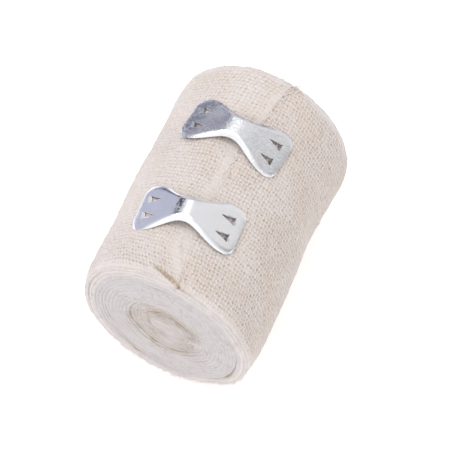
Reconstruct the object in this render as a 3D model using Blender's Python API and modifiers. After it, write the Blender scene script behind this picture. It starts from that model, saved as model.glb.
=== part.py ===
"""A crepe bandage roll that lies on its side, its loose end held down by two metal clips.

The roll's axis runs along Y, +Z is up, and the roll rests on a flat spot in the plane Z = 0.
Angles round the roll are in degrees from the top, growing towards +X. The cloth winds outwards
in that direction, so the layer under the loose end carries on to the right of the cut edge.
"""

import math
from collections import namedtuple

import bmesh
import bpy
from mathutils import Matrix, Vector

MM = 0.001

# The cloth, and the play between its layers
WIDTH = 75 * MM
CLOTH = 1.2 * MM
PLAY = 0.3 * MM
TURN = CLOTH + PLAY

# The roll's section: an oval at the foot of the outermost turn, with a flat spot underneath
HALF_X = 25.8 * MM
HALF_Z = 27.2 * MM
GROWTH = 0.018
FLAT_DEPTH = 0.5 * MM
STATIONS = 60
SIDE_ROWS = 22

# Where the roll's axis crosses Y = 0, so that the origin is under the middle of the whole box
AXIS_X = 0.1 * MM
AXIS_Y = 0.6 * MM

# The loose end leaves the roll here, and lies on it up to its cut edge
ROOT_ANGLE = -122.0
FREE_STATIONS = 26
FREE_ROWS = 26

# The winding as the roll's ends show it: the outermost turn, then bands of several turns
BAND = 3.6 * MM
BAND_ROWS = 3
SMALLEST_RING = 0.07
BAND_RELIEF = 0.7 * MM
RIM_ROUNDING = 0.6 * MM
CORE_SLIT_HALF = 2.6 * MM
CORE_SLIT_ANGLE = 116.0
CORE_SLIT_DEPTH = 2.5 * MM
CORE_SHARE = 0.5

End = namedtuple("End", "side lean_x lean_z hollow")
NEAR = End(side=-1, lean_x=2.4 * MM, lean_z=1.8 * MM, hollow=0.9 * MM)
FAR = End(side=1, lean_x=-0.4 * MM, lean_z=1.8 * MM, hollow=0.7 * MM)

# Uneven places: how far the cloth stands out (or in) round a point, and how far that spreads
Swell = namedtuple("Swell", "angle along height angle_spread along_spread")
SWELLS = [
    Swell(angle=-72, along=-38 * MM, height=-0.6 * MM, angle_spread=26, along_spread=4 * MM),
    Swell(angle=-74, along=-25 * MM, height=0.35 * MM, angle_spread=26, along_spread=8 * MM),
    Swell(angle=-72, along=2 * MM, height=0.5 * MM, angle_spread=24, along_spread=10 * MM),
    Swell(angle=98, along=38 * MM, height=0.6 * MM, angle_spread=34, along_spread=10 * MM),
    Swell(angle=98, along=12 * MM, height=-1.0 * MM, angle_spread=30, along_spread=10 * MM),
    Swell(angle=98, along=-24 * MM, height=0.45 * MM, angle_spread=30, along_spread=14 * MM),
    Swell(angle=110, along=-38 * MM, height=-0.5 * MM, angle_spread=30, along_spread=5 * MM),
    Swell(angle=150, along=-37 * MM, height=-1.2 * MM, angle_spread=22, along_spread=8 * MM),
    Swell(angle=55, along=5 * MM, height=0.2 * MM, angle_spread=20, along_spread=16 * MM),
    Swell(angle=215, along=20 * MM, height=0.6 * MM, angle_spread=25, along_spread=15 * MM),
    Swell(angle=225, along=-12 * MM, height=-0.5 * MM, angle_spread=25, along_spread=12 * MM),
    Swell(angle=232, along=-38 * MM, height=0.9 * MM, angle_spread=32, along_spread=9 * MM),
]

# Where the loose end stands off the roll: its near corner, and along its cut edge
LIFTS = [
    Swell(angle=-3, along=-37 * MM, height=0.9 * MM, angle_spread=9, along_spread=3 * MM),
    Swell(angle=6, along=-4 * MM, height=0.35 * MM, angle_spread=7, along_spread=9 * MM),
    Swell(angle=14, along=27 * MM, height=0.3 * MM, angle_spread=8, along_spread=8 * MM),
]

# The cut edge wanders along the roll
Edge = namedtuple("Edge", "along angle")
CUT_EDGE = [
    Edge(along=-38 * MM, angle=7.5),
    Edge(along=-28 * MM, angle=0.5),
    Edge(along=-16 * MM, angle=0.0),
    Edge(along=0 * MM, angle=2.5),
    Edge(along=16 * MM, angle=5.5),
    Edge(along=28 * MM, angle=12.0),
    Edge(along=38 * MM, angle=18.5),
]

# How far the loose end's woven edges lie in from the roll's ends. The near one is drawn in most
# at one angle, where it puckers
NEAR_INSET = 0.5 * MM
NEAR_DRAWN_IN = 2.6 * MM
DRAWN_IN_ANGLE = -10.0
DRAWN_IN_SPREAD = 14.0
FAR_INSET = 0.9 * MM

# One clip: a strip of sheet metal, narrow in the middle, bent over the roll
CLIP_LENGTH = 34 * MM
CLIP_WIDE = 15.5 * MM
CLIP_WAIST = 7.2 * MM
CLIP_WIDE_AT = 13.0 * MM
CLIP_CORNER = 3.0 * MM
CLIP_METAL = 0.5 * MM
CLIP_TURN = 56.0
CLIP_CURL = 3.0
CLIP_BEND_HALF = 6.0 * MM
FLANGE_WIDTH = 2.0 * MM
FLANGE_WAIST = 1.5 * MM
FLANGE_END = 0.45 * MM
CLIP_ROWS = 28
CLIP_COLUMNS = 10

# The punched holes, and the teeth bent down from their outer ends
HOLE_LENGTH = 4.4 * MM
HOLE_WIDTH = 2.1 * MM
HOLE_APART = 5.8 * MM
HOLE_END_AT = 14.2 * MM
TOOTH_LENGTH = 2.0 * MM
TOOTH_WIDTH = 1.9 * MM
TOOTH_TIP = 0.5 * MM
TOOTH_METAL = 0.4 * MM

# Where each clip lies: its bend's height above the layer under the loose end, its skew across
# the cut edge, the lean that brings its right plate down onto that layer, and its tip endways
Clip = namedtuple("Clip", "name along angle height skew lean tip")
CLIPS = [
    Clip(name="clip_near", along=-17.0 * MM, angle=-3.0, height=4.7 * MM, skew=2.5, lean=2.2, tip=1.8),
    Clip(name="clip_far", along=15.2 * MM, angle=0.3, height=5.5 * MM, skew=-6.0, lean=2.9, tip=0.6),
]

Finish = namedtuple("Finish", "colour roughness metallic")
CREPE = Finish(colour=(0.78, 0.70, 0.63, 1.0), roughness=0.95, metallic=0.0)
CREPE_TOP = Finish(colour=(0.80, 0.71, 0.64, 1.0), roughness=0.95, metallic=0.0)
CLIP_METALS = Finish(colour=(0.74, 0.75, 0.77, 1.0), roughness=0.24, metallic=1.0)


def smooth(x):
    """0 below 0, 1 above 1, and an even S between."""
    x = min(max(x, 0.0), 1.0)
    return x * x * (3 - 2 * x)


def stand_out(places, angle, along):
    """How far the named uneven places push the cloth outwards at one point."""
    total = 0.0
    for place in places:
        turned = (angle - place.angle + 180) % 360 - 180
        round_it = (turned / place.angle_spread) ** 2
        along_it = ((along - place.along) / place.along_spread) ** 2
        total += place.height * math.exp(-round_it - along_it)
    return total


def wound(angle):
    """How far the layer has wound outwards at an angle, from 0 at the root's foot to TURN."""
    return TURN * ((angle - ROOT_ANGLE) / 360)


def oval(angle, along, lift):
    """The point of a layer raised by lift above the section's oval. The underside is flat."""
    grown = 1 + GROWTH * along / (WIDTH / 2)
    lift += stand_out(SWELLS, angle, along)
    bottom = wound(180.0)
    height = HALF_Z * grown + bottom - FLAT_DEPTH
    a = math.radians(angle)
    x = (HALF_X * grown + lift) * math.sin(a)
    z = height + (HALF_Z * grown + lift) * math.cos(a)
    return Vector((AXIS_X + x, AXIS_Y + along, max(z, 0.0)))


def axis_point(along):
    grown = 1 + GROWTH * along / (WIDTH / 2)
    return Vector((AXIS_X, AXIS_Y + along, HALF_Z * grown + wound(180.0) - FLAT_DEPTH))


def end_place(end, angle, share):
    """Where an end's plane lies along the axis. The ends lean: the roll is wound a little askew."""
    a = math.radians(angle)
    lean = end.lean_x * math.sin(a) + end.lean_z * math.cos(a)
    return end.side * (WIDTH / 2 + lean * share)


def side_place(angle, share):
    near = end_place(NEAR, angle, 1.0) + RIM_ROUNDING
    far = end_place(FAR, angle, 1.0) - RIM_ROUNDING
    return near + (far - near) * share


def mesh_object(name, bm, finish, collection):
    bmesh.ops.recalc_face_normals(bm, faces=bm.faces)
    mesh = bpy.data.meshes.new(name)
    bm.to_mesh(mesh)
    bm.free()
    thing = bpy.data.objects.new(name, mesh)
    collection.objects.link(thing)
    if finish:
        mesh.materials.append(material(name, finish))
        mesh.shade_smooth()
        mesh.set_sharp_from_angle(angle=math.radians(40))
    return thing


def material(name, finish):
    made = bpy.data.materials.new(name)
    made.use_nodes = True
    shader = made.node_tree.nodes["Principled BSDF"]
    shader.inputs["Base Color"].default_value = finish.colour
    shader.inputs["Roughness"].default_value = finish.roughness
    shader.inputs["Metallic"].default_value = finish.metallic
    return made


def spiral_point(end, row, station):
    """A point of the wound end face. Each row starts where the turn outside it began, and after
    BAND_ROWS rows a turn later the spiral has come one band further in."""
    turns = row / BAND_ROWS + station / STATIONS
    angle = ROOT_ANGLE + 360 - 360 * station / STATIONS
    if turns <= 1:
        lift, share = TURN * (1 - turns), 1.0
    else:
        lift, share = 0.0, 1 - BAND * (turns - 1) / HALF_Z
    along = end_place(end, angle, share)
    point = oval(angle, along, lift)
    centre = axis_point(along)
    slit_angle = math.radians(CORE_SLIT_ANGLE)
    slit = Vector((math.sin(slit_angle), 0, math.cos(slit_angle)))
    spread = CORE_SLIT_HALF * math.cos(math.radians(angle) - slit_angle)
    flat = centre + (point - centre) * share + slit * spread * (1 - share)
    # Every row that starts a band lies in the groove outside it, and the rows between stand
    # out. The outermost row is the rim, and the core is a little sunk.
    if row == 0:
        relief = -RIM_ROUNDING
    elif row % BAND_ROWS == 0:
        relief = -BAND_RELIEF
    else:
        relief = 0.0
    relief -= end.hollow * smooth((CORE_SHARE - share) / 0.15)
    flat.y = AXIS_Y + along + end.side * relief
    return flat, share


def make_roll(collection):
    """The wound turns: an uneven spiral section from end to end, and a spiral relief on each end."""
    bm = bmesh.new()
    rows = 0
    while spiral_point(NEAR, rows + 1, STATIONS)[1] > SMALLEST_RING:
        rows += 1
    rim = [(0, station) for station in range(STATIONS)]
    rim += [(row, 0) for row in range(BAND_ROWS, 0, -1)]
    sides = []
    for end in (NEAR, FAR):
        found = {}
        for row in range(rows + 1):
            for station in range(STATIONS):
                found[row, station] = bm.verts.new(spiral_point(end, row, station)[0])
        for row in range(rows + 1, rows + BAND_ROWS + 1):
            found[row, 0] = bm.verts.new(spiral_point(end, row, 0)[0])
        for row in range(rows + BAND_ROWS + 1):
            if (row, 0) in found and (row + BAND_ROWS, 0) in found:
                found[row, STATIONS] = found[row + BAND_ROWS, 0]
        for row in range(rows):
            for station in range(STATIONS):
                corners = [(row, station), (row, station + 1), (row + 1, station + 1), (row + 1, station)]
                bm.faces.new([found[corner] for corner in corners])
        ring = [found[rows, station] for station in range(STATIONS)]
        ring += [found[rows + row, 0] for row in range(BAND_ROWS, 0, -1)]
        middle = sum((v.co for v in ring), Vector()) / len(ring)
        hub = bm.verts.new(middle - Vector((0, end.side * CORE_SLIT_DEPTH, 0)))
        for one, other in zip(ring, ring[1:] + ring[:1]):
            bm.faces.new([hub, one, other])
        sides.append([found[corner] for corner in rim])
    columns = [sides[0]]
    for step in range(1, SIDE_ROWS):
        share = step / SIDE_ROWS
        column = []
        for row, station in rim:
            turns = row / BAND_ROWS + station / STATIONS
            angle = ROOT_ANGLE + 360 - 360 * station / STATIONS
            along = side_place(angle, share)
            column.append(bm.verts.new(oval(angle, along, TURN * (1 - turns))))
        columns.append(column)
    columns.append(sides[1])
    for near, far in zip(columns, columns[1:]):
        for k in range(len(rim)):
            after = (k + 1) % len(rim)
            bm.faces.new([near[k], near[after], far[after], far[k]])
    bmesh.ops.triangulate(bm, faces=[f for f in bm.faces if len(f.verts) > 3])
    return mesh_object("roll", bm, CREPE, collection)


def cut_angle(along):
    """The cut edge's angle, eased between the rows of its table."""
    for one, other in zip(CUT_EDGE, CUT_EDGE[1:]):
        if along <= other.along:
            share = smooth((along - one.along) / (other.along - one.along))
            return one.angle + (other.angle - one.angle) * share
    return CUT_EDGE[-1].angle


def make_loose_end(collection):
    """The last stretch of the outermost turn: an open sheet with Solidify, a little off the roll."""
    bm = bmesh.new()
    root = ROOT_ANGLE + math.degrees(2 * PLAY / HALF_X)
    grid = []
    for row in range(FREE_ROWS + 1):
        share = row / FREE_ROWS
        along = (share - 0.5) * WIDTH
        line = []
        for station in range(FREE_STATIONS + 1):
            angle = root + (cut_angle(along) - root) * station / FREE_STATIONS
            pucker = math.exp(-(((angle - DRAWN_IN_ANGLE) / DRAWN_IN_SPREAD) ** 2))
            near = end_place(NEAR, angle, 1.0) + NEAR_INSET + NEAR_DRAWN_IN * pucker
            far = end_place(FAR, angle, 1.0) - FAR_INSET
            place = near + (far - near) * share
            lift = wound(angle) + PLAY + stand_out(LIFTS, angle, place)
            line.append(bm.verts.new(oval(angle, place, lift)))
        grid.append(line)
    for near, far in zip(grid, grid[1:]):
        for k in range(FREE_STATIONS):
            bm.faces.new([near[k], near[k + 1], far[k + 1], far[k]])
    sheet = mesh_object("loose_end", bm, CREPE_TOP, collection)
    if sheet.data.polygons[0].normal.dot(Vector(sheet.data.polygons[0].center) - axis_point(0)) < 0:
        sheet.data.flip_normals()
    solid = sheet.modifiers.new("cloth", "SOLIDIFY")
    solid.thickness = CLOTH
    solid.offset = 1.0
    return sheet


def clip_half_width(u):
    """Half the clip's width at a distance from its bend: waisted, with rounded corners."""
    u = abs(u)
    wide = CLIP_WIDE / 2
    waist = CLIP_WAIST / 2
    width = waist + (wide - waist) * smooth(u / CLIP_WIDE_AT) ** 1.15
    past = u - (CLIP_LENGTH / 2 - CLIP_CORNER)
    if past > 0:
        width -= CLIP_CORNER - math.sqrt(max(CLIP_CORNER**2 - past**2, 0.0))
    return width


def clip_slope(u):
    """The middle line's slope: a bend over the roll, then two nearly straight plates."""
    bent = max(-1.0, min(1.0, u / CLIP_BEND_HALF))
    bent = bent * (3 - bent * bent) / 2
    return -math.radians(CLIP_TURN / 2 * bent + CLIP_CURL * u / (CLIP_LENGTH / 2))


def clip_line(u, steps=40):
    """The middle line's point at a distance u from the bend, by adding up short lengths."""
    x = z = 0.0
    for k in range(steps):
        slope = clip_slope(u * (k + 0.5) / steps)
        x += u / steps * math.cos(slope)
        z += u / steps * math.sin(slope)
    return x, z


def clip_point(u, v):
    """A point of the clip's underside: the middle line, with the long edges rolled down."""
    x, z = clip_line(u)
    slope = clip_slope(u)
    ended = smooth((abs(u) - 4 * MM) / (9 * MM))
    depth = FLANGE_WAIST + (FLANGE_END - FLANGE_WAIST) * ended
    inside = clip_half_width(u) - abs(v)
    drop = depth * max(0.0, 1 - inside / FLANGE_WIDTH) ** 2
    at_end = CLIP_LENGTH / 2 - abs(u)
    drop = max(drop, FLANGE_END * max(0.0, 1 - at_end / FLANGE_WIDTH) ** 2)
    return Vector((x + drop * math.sin(slope), v, z - drop * math.cos(slope)))


def clip_places():
    """Distances from the bend, closer together where the outline turns."""
    half = CLIP_LENGTH / 2
    return [half * math.sin(math.pi / 2 * (2 * k / CLIP_ROWS - 1)) for k in range(CLIP_ROWS + 1)]


def clip_placement(clip):
    """Clip to roll: skewed about its own upright, leaned, then carried round the roll's axis."""
    centre = axis_point(clip.along)
    out = HALF_Z + clip.height
    skew = Matrix.Rotation(math.radians(clip.skew), 4, "Z")
    lean = Matrix.Rotation(math.radians(clip.lean), 4, "Y")
    tip = Matrix.Rotation(math.radians(clip.tip), 4, "X")
    turn = Matrix.Rotation(math.radians(clip.angle), 4, "Y")
    raised = Matrix.Translation((0, 0, out))
    return Matrix.Translation(centre) @ turn @ raised @ tip @ lean @ skew


def tooth_places():
    """Each hole's outer end: its distance from the bend, its side, and its outward direction."""
    return [(side * HOLE_END_AT, across * HOLE_APART / 2, side) for side in (-1, 1) for across in (-1, 1)]


def along_plate(u, v):
    """A frame on the clip: its X runs along the plate and its Z stands up from it."""
    at = clip_point(u, v)
    return Matrix.Translation(at) @ Matrix.Rotation(-clip_slope(u), 4, "Y")


def guide_object(name, bm, placement, cutters):
    guide = mesh_object(name, bm, None, cutters)
    guide.data.transform(placement)
    guide.hide_render = True
    guide.display_type = "WIRE"
    return guide


def hole_cutter(clip, cutters):
    """Four upright three-sided prisms, their points towards the middle of the clip."""
    bm = bmesh.new()
    for u, v, side in tooth_places():
        made = bmesh.ops.create_cone(bm, cap_ends=True, segments=3, radius1=1.0, radius2=1.0, depth=4 * MM)
        # A three-sided cone has its corners on a circle of radius 1, one of them at +Y.
        shape = Matrix.Diagonal((HOLE_LENGTH / 1.5, HOLE_WIDTH / math.sqrt(3), 1, 1))
        shape = shape @ Matrix.Rotation(math.radians(90 * side), 4, "Z")
        placed = along_plate(u, v) @ Matrix.Translation((-side * HOLE_LENGTH / 3, 0, 0)) @ shape
        bmesh.ops.transform(bm, matrix=placed, verts=made["verts"])
    return guide_object(clip.name + "_holes", bm, clip_placement(clip), cutters)


def tooth_shapes(bm, extra):
    """Four teeth that taper downwards from the holes' outer ends, made larger all round by extra."""
    for u, v, side in tooth_places():
        made = bmesh.ops.create_cube(bm, size=1.0)
        for vert in made["verts"]:
            low = vert.co.z < 0
            width = TOOTH_TIP if low else TOOTH_WIDTH
            vert.co.x = side * TOOTH_METAL / 2 + math.copysign(TOOTH_METAL / 2 + extra, vert.co.x)
            vert.co.y = math.copysign(width / 2 + extra, vert.co.y)
            vert.co.z = -TOOTH_LENGTH - extra if low else CLIP_METAL / 2 + extra
        bmesh.ops.transform(bm, matrix=along_plate(u, v), verts=made["verts"])


def make_clip(clip, collection, cutters):
    """A waisted strip with Solidify, its holes cut and its teeth joined on."""
    bm = bmesh.new()
    grid = []
    for u in clip_places():
        width = clip_half_width(u)
        line = []
        for k in range(CLIP_COLUMNS + 1):
            v = width * math.sin(math.pi / 2 * (2 * k / CLIP_COLUMNS - 1))
            line.append(bm.verts.new(clip_point(u, v)))
        grid.append(line)
    for one, other in zip(grid, grid[1:]):
        for k in range(CLIP_COLUMNS):
            bm.faces.new([one[k], other[k], other[k + 1], one[k + 1]])
    strip = mesh_object(clip.name, bm, CLIP_METALS, collection)
    if strip.data.polygons[0].normal.z < 0:
        strip.data.flip_normals()
    strip.data.transform(clip_placement(clip))
    solid = strip.modifiers.new("metal", "SOLIDIFY")
    solid.thickness = CLIP_METAL
    solid.offset = 1.0
    holes = strip.modifiers.new("holes", "BOOLEAN")
    holes.operation = "DIFFERENCE"
    holes.object = hole_cutter(clip, cutters)
    bm = bmesh.new()
    tooth_shapes(bm, 0.0)
    teeth = strip.modifiers.new("teeth", "BOOLEAN")
    teeth.operation = "UNION"
    teeth.object = guide_object(clip.name + "_teeth", bm, clip_placement(clip), cutters)
    return strip


def cut_pockets(clip, cloths, cutters):
    """Room in the cloth for the clip's teeth, with PLAY all round each."""
    bm = bmesh.new()
    tooth_shapes(bm, PLAY)
    pockets = guide_object(clip.name + "_pockets", bm, clip_placement(clip), cutters)
    for cloth in cloths:
        cut = cloth.modifiers.new(clip.name + "_pockets", "BOOLEAN")
        cut.operation = "DIFFERENCE"
        cut.object = pockets


def main():
    for thing in list(bpy.data.objects):
        bpy.data.objects.remove(thing, do_unlink=True)
    collection = bpy.data.collections.new("crepe_bandage_roll")
    cutters = bpy.data.collections.new("cutters")
    for made in (collection, cutters):
        bpy.context.scene.collection.children.link(made)
    roll = make_roll(collection)
    loose_end = make_loose_end(collection)
    for clip in CLIPS:
        make_clip(clip, collection, cutters)
        cut_pockets(clip, [roll, loose_end], cutters)


main()
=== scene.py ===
"""The looks of a crepe bandage roll with two metal clips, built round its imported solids."""

import math
from collections import namedtuple

import bmesh
import bpy
import numpy as np
from mathutils import Matrix, Vector


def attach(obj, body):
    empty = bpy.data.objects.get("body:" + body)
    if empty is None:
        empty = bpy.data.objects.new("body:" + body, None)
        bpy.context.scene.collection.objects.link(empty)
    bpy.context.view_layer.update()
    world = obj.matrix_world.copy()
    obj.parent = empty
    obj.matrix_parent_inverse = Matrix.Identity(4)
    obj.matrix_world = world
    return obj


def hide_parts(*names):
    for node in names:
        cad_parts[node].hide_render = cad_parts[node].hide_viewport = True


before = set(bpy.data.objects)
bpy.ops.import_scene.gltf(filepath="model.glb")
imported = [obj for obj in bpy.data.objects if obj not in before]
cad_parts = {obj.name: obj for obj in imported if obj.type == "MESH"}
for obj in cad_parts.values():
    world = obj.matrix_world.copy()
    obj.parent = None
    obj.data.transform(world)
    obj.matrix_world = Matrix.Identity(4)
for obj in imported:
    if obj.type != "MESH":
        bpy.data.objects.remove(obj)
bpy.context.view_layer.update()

MM = 0.001


def rows(kind, lengths, table):
    """Named rows from a table that gives the named lengths in millimetres."""
    scale = [MM if field in lengths.split() else 1 for field in kind._fields]
    return [kind(*[value * by for value, by in zip(row, scale)]) for row in table]


# The cloth and the roll's section, as in the solids
WIDTH = 75 * MM
CLOTH = 1.2 * MM
PLAY = 0.3 * MM
TURN = CLOTH + PLAY
HALF_X = 25.8 * MM
HALF_Z = 27.2 * MM
GROWTH = 0.018
FLAT_DEPTH = 0.5 * MM
AXIS_X = 0.1 * MM
AXIS_Y = 0.6 * MM
ROOT_ANGLE = -122.0
CORE_SLIT_HALF = 2.6 * MM
CORE_SLIT_ANGLE = 116.0
CORE_SHARE = 0.5

End = namedtuple("End", "side lean_x lean_z hollow")
NEAR = End(side=-1, lean_x=2.4 * MM, lean_z=1.8 * MM, hollow=0.9 * MM)
FAR = End(side=1, lean_x=-0.4 * MM, lean_z=1.8 * MM, hollow=0.7 * MM)

# Places where the cloth swells or sinks, by angle from the top towards the right, and where the
# loose end stands off the turn below
Swell = namedtuple("Swell", "angle along height angle_spread along_spread")
SWELLS = rows(Swell, "along height along_spread", [
    (-72, -38, -0.6, 26, 4),
    (-74, -25, 0.35, 26, 8),
    (-72, 2, 0.5, 24, 10),
    (98, 38, 0.6, 34, 10),
    (98, 12, -1.0, 30, 10),
    (98, -24, 0.45, 30, 14),
    (110, -38, -0.5, 30, 5),
    (150, -37, -1.2, 22, 8),
    (55, 5, 0.2, 20, 16),
    (215, 20, 0.6, 25, 15),
    (225, -12, -0.5, 25, 12),
    (232, -38, 0.9, 32, 9),
])
LIFTS = rows(Swell, "along height along_spread", [
    (6, -4, 0.35, 7, 9),
    (14, 27, 0.3, 8, 8),
])

# The cut edge's line over the roll
Edge = namedtuple("Edge", "along angle")
CUT_EDGE = rows(Edge, "along", [
    (-38, 11.5),
    (-28, 0.9),
    (-16, 0.0),
    (0, 2.5),
    (16, 5.5),
    (28, 12.0),
    (38, 18.5),
])
FAR_INSET = 0.4 * MM

# The slit that has opened by the near rim, beside the cut edge
Slit = namedtuple("Slit", "angle along open")
SLIT = rows(Slit, "along", [
    (-10.0, -35.3, 0.0),
    (-6.0, -35.9, 0.5),
    (0.0, -36.8, 0.95),
    (5.0, -37.6, 1.0),
    (9.0, -38.2, 0.9),
    (12.0, -38.7, 0.4),
    (16.0, -39.0, 0.35),
    (21.0, -39.1, 0.2),
    (26.0, -39.2, 0.0),
])
SLIT_HALF = 0.65 * MM
SLIT_DEPTH = 1.1 * MM

# The felted ends: bands of a few turns, longer waves, small loops, and the worn rim
END_BANDS = 0.12 * MM
END_WAVES = 0.14 * MM
END_LOOPS = 0.05 * MM
RIM_LOOPS = 0.07 * MM
RIM_WEAR = 0.35 * MM

# The weave: yarns round the roll are warp, those along its axis are weft
WARPS = 63
WEFT_PITCH = 1.12 * MM
STEPS_PER_YARN = 3
YARN_WAVE = 0.09 * MM
YARN_CROWN = 0.17 * MM
YARN_HALF = 0.5
YARN_SLANT = 0.45
MEAN_RADIUS = 27.6 * MM
SELVAGE = 2.4
SELVAGE_DROP = 0.55 * MM
CRINKLE = 0.13 * MM
SELVAGE_KNOTS = 0.13 * MM
SKEW_FADES = 26 * MM

# The outermost turn runs from the cut edge to a place hidden under the loose end
SHOWN_WEFTS = 159
HIDDEN_WEFTS = 39
OUTER_WEFTS = SHOWN_WEFTS + HIDDEN_WEFTS
HIDDEN_STEPS = 22
CUT_EDGE_MEAN = 5.0
CUT_THICKNESS = 0.15 * MM
CUT_TAPER = 8.0
CUT_SHADOW_SPREAD = 1.5 * MM

# The turns inside it
FINE_TURN = 1.32 * MM
LAST_SHARE = 0.004
LAYER_GAP = 0.03 * MM
LAYER_WANDER = 0.13 * MM

# The clips, a little broader at the waist and less bent than in the solids
CLIP_LENGTH = 34 * MM
CLIP_WIDE = 15.5 * MM
CLIP_WAIST = 8.3 * MM
CLIP_WIDE_AT = 13.0 * MM
CLIP_CORNER = 3.0 * MM
CLIP_METAL = 0.4 * MM
CLIP_CURL = 4.2
CLIP_BEND_HALF = 6.0 * MM
FLANGE_WIDTH = 1.7 * MM
FLANGE_WAIST = 1.15 * MM
FLANGE_END = 0.45 * MM
BACK_FLANGE = 0.5
END_DROP = 0.12 * MM
CLIP_ROWS = 110
CLIP_COLUMNS = 40
HOLE_LENGTH = 4.5 * MM
HOLE_WIDTH = 2.5 * MM
HOLE_APART = 5.8 * MM
HOLE_END_AT = 14.2 * MM
TOOTH_LENGTH = 2.0 * MM
TOOTH_WIDTH = 2.2 * MM
TOOTH_LEAN = 1.3 * MM
TOOTH_TIP = 0.5 * MM
TOOTH_METAL = 0.35 * MM
CLIP_BEVEL = 0.07 * MM
SHARP = 50.0

Clip = namedtuple("Clip", "name along angle height turn skew lean tip wear")
# Each clip's wear also sets how strongly a dark reflection is painted on it
CLIPS = [
    Clip(
        "clip_near", along=-16.5 * MM, angle=-3.0, height=4.8 * MM, turn=55.0,
        skew=3.0, lean=1.7, tip=1.8, wear=0.1,
    ),
    Clip(
        "clip_far", along=15.0 * MM, angle=1.0, height=4.8 * MM, turn=48.0,
        skew=-6.5, lean=2.9, tip=0.6, wear=1.0,
    ),
]

# The camera stands where the photograph was taken from
CAMERA_ELEVATION = 54.76
CAMERA_AZIMUTH = 22.27
CAMERA_DISTANCE = 600 * MM
CAMERA_LENS = 162.8
CAMERA_SENSOR = 36.0
AIM = Vector((AXIS_X - 0.4 * MM, AXIS_Y, 28.5 * MM))
AIM_RIGHT = 2.92 * MM
AIM_UP = 0.91 * MM


def smooth(x):
    """A smooth step from 0 to 1."""
    x = np.clip(x, 0.0, 1.0)
    return x * x * (3 - 2 * x)


def stand_out(places, angle, along):
    """How far the named uneven places push the cloth outwards."""
    total = np.zeros(np.broadcast(angle, along).shape)
    for place in places:
        turned = (angle - place.angle + 180) % 360 - 180
        round_it = (turned / place.angle_spread) ** 2
        along_it = ((along - place.along) / place.along_spread) ** 2
        total += place.height * np.exp(-round_it - along_it)
    return total


def bottom_lift():
    """How far the winding has grown under the roll, from the root to the lowest place."""
    return TURN * ((180.0 - ROOT_ANGLE) / 360)


def cloth_point(angle, along, depth):
    """Points of the wound cloth. Depth is measured inwards from the layer at the root's foot."""
    angle, along, depth = np.broadcast_arrays(angle, along, depth)
    share = 1 - np.maximum(depth, 0) / HALF_Z
    lift = stand_out(SWELLS, angle, along) - np.minimum(depth, 0)
    grown = 1 + GROWTH * along / (WIDTH / 2)
    height = HALF_Z * grown + bottom_lift() - FLAT_DEPTH
    a = np.radians(angle)
    slit_angle = math.radians(CORE_SLIT_ANGLE)
    slit = CORE_SLIT_HALF * np.cos(a - slit_angle) * (1 - share)
    x = (HALF_X * grown + lift) * np.sin(a) * share + slit * math.sin(slit_angle)
    up = (HALF_Z * grown + lift) * np.cos(a)
    floor = -height
    z = height + np.maximum(up, floor + np.zeros_like(up)) * share + slit * math.cos(slit_angle)
    return np.stack([AXIS_X + x, AXIS_Y + along, np.maximum(z, 0.0)], axis=-1)


def axis_point(along):
    """The point of the roll's axis at a place along it."""
    grown = 1 + GROWTH * along / (WIDTH / 2)
    return Vector((AXIS_X, AXIS_Y + along, HALF_Z * grown + bottom_lift() - FLAT_DEPTH))


def end_place(end, angle, share):
    """Where a leaning end lies along the roll, without its unevenness."""
    a = np.radians(angle)
    lean = end.lean_x * np.sin(a) + end.lean_z * np.cos(a)
    return end.side * (WIDTH / 2 + lean * share)


def cut_angle(along):
    """The cut edge's angle at each place along the roll."""
    places = [edge.along for edge in CUT_EDGE]
    angles = [edge.angle for edge in CUT_EDGE]
    found = np.zeros(np.shape(along))
    for k in range(len(places) - 1):
        share = smooth((along - places[k]) / (places[k + 1] - places[k]))
        found = np.where(along >= places[k], angles[k] + (angles[k + 1] - angles[k]) * share, found)
    return np.where(along < places[0], angles[0], found)


def uneven(seed, shortest, longest, count=14):
    """A smooth uneven field of two values, about -1 to 1, made of sine waves."""
    rng = np.random.default_rng(seed)
    length = np.exp(rng.uniform(math.log(shortest), math.log(longest), count))
    heading = rng.uniform(0, 2 * math.pi, count)
    phase = rng.uniform(0, 2 * math.pi, count)

    def field(x, y):
        total = 0.0
        for k in range(count):
            across = x * math.cos(heading[k]) + y * math.sin(heading[k])
            total = total + np.sin(2 * math.pi * across / length[k] + phase[k])
        return total / math.sqrt(count)

    return field


def weave_relief(u, v):
    """The height of a plain weave's face over its middle plane, for weft count u and warp count v."""
    j, i = np.floor(u), np.floor(v)
    fu, fv = u - j - 0.5, v - i - 0.5
    over = np.where((i + j) % 2 == 0, 1.0, -1.0)
    warp_crown = np.sqrt(np.clip(1 - ((fv - YARN_SLANT * fu) / YARN_HALF) ** 2, 0, 1))
    weft_crown = np.sqrt(np.clip(1 - (fu / YARN_HALF) ** 2, 0, 1))
    warp = YARN_WAVE * over * np.cos(math.pi * fu) + YARN_CROWN * warp_crown
    weft = -YARN_WAVE * over * np.cos(math.pi * fv) + 0.8 * YARN_CROWN * weft_crown
    return np.maximum(warp, weft)


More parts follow.
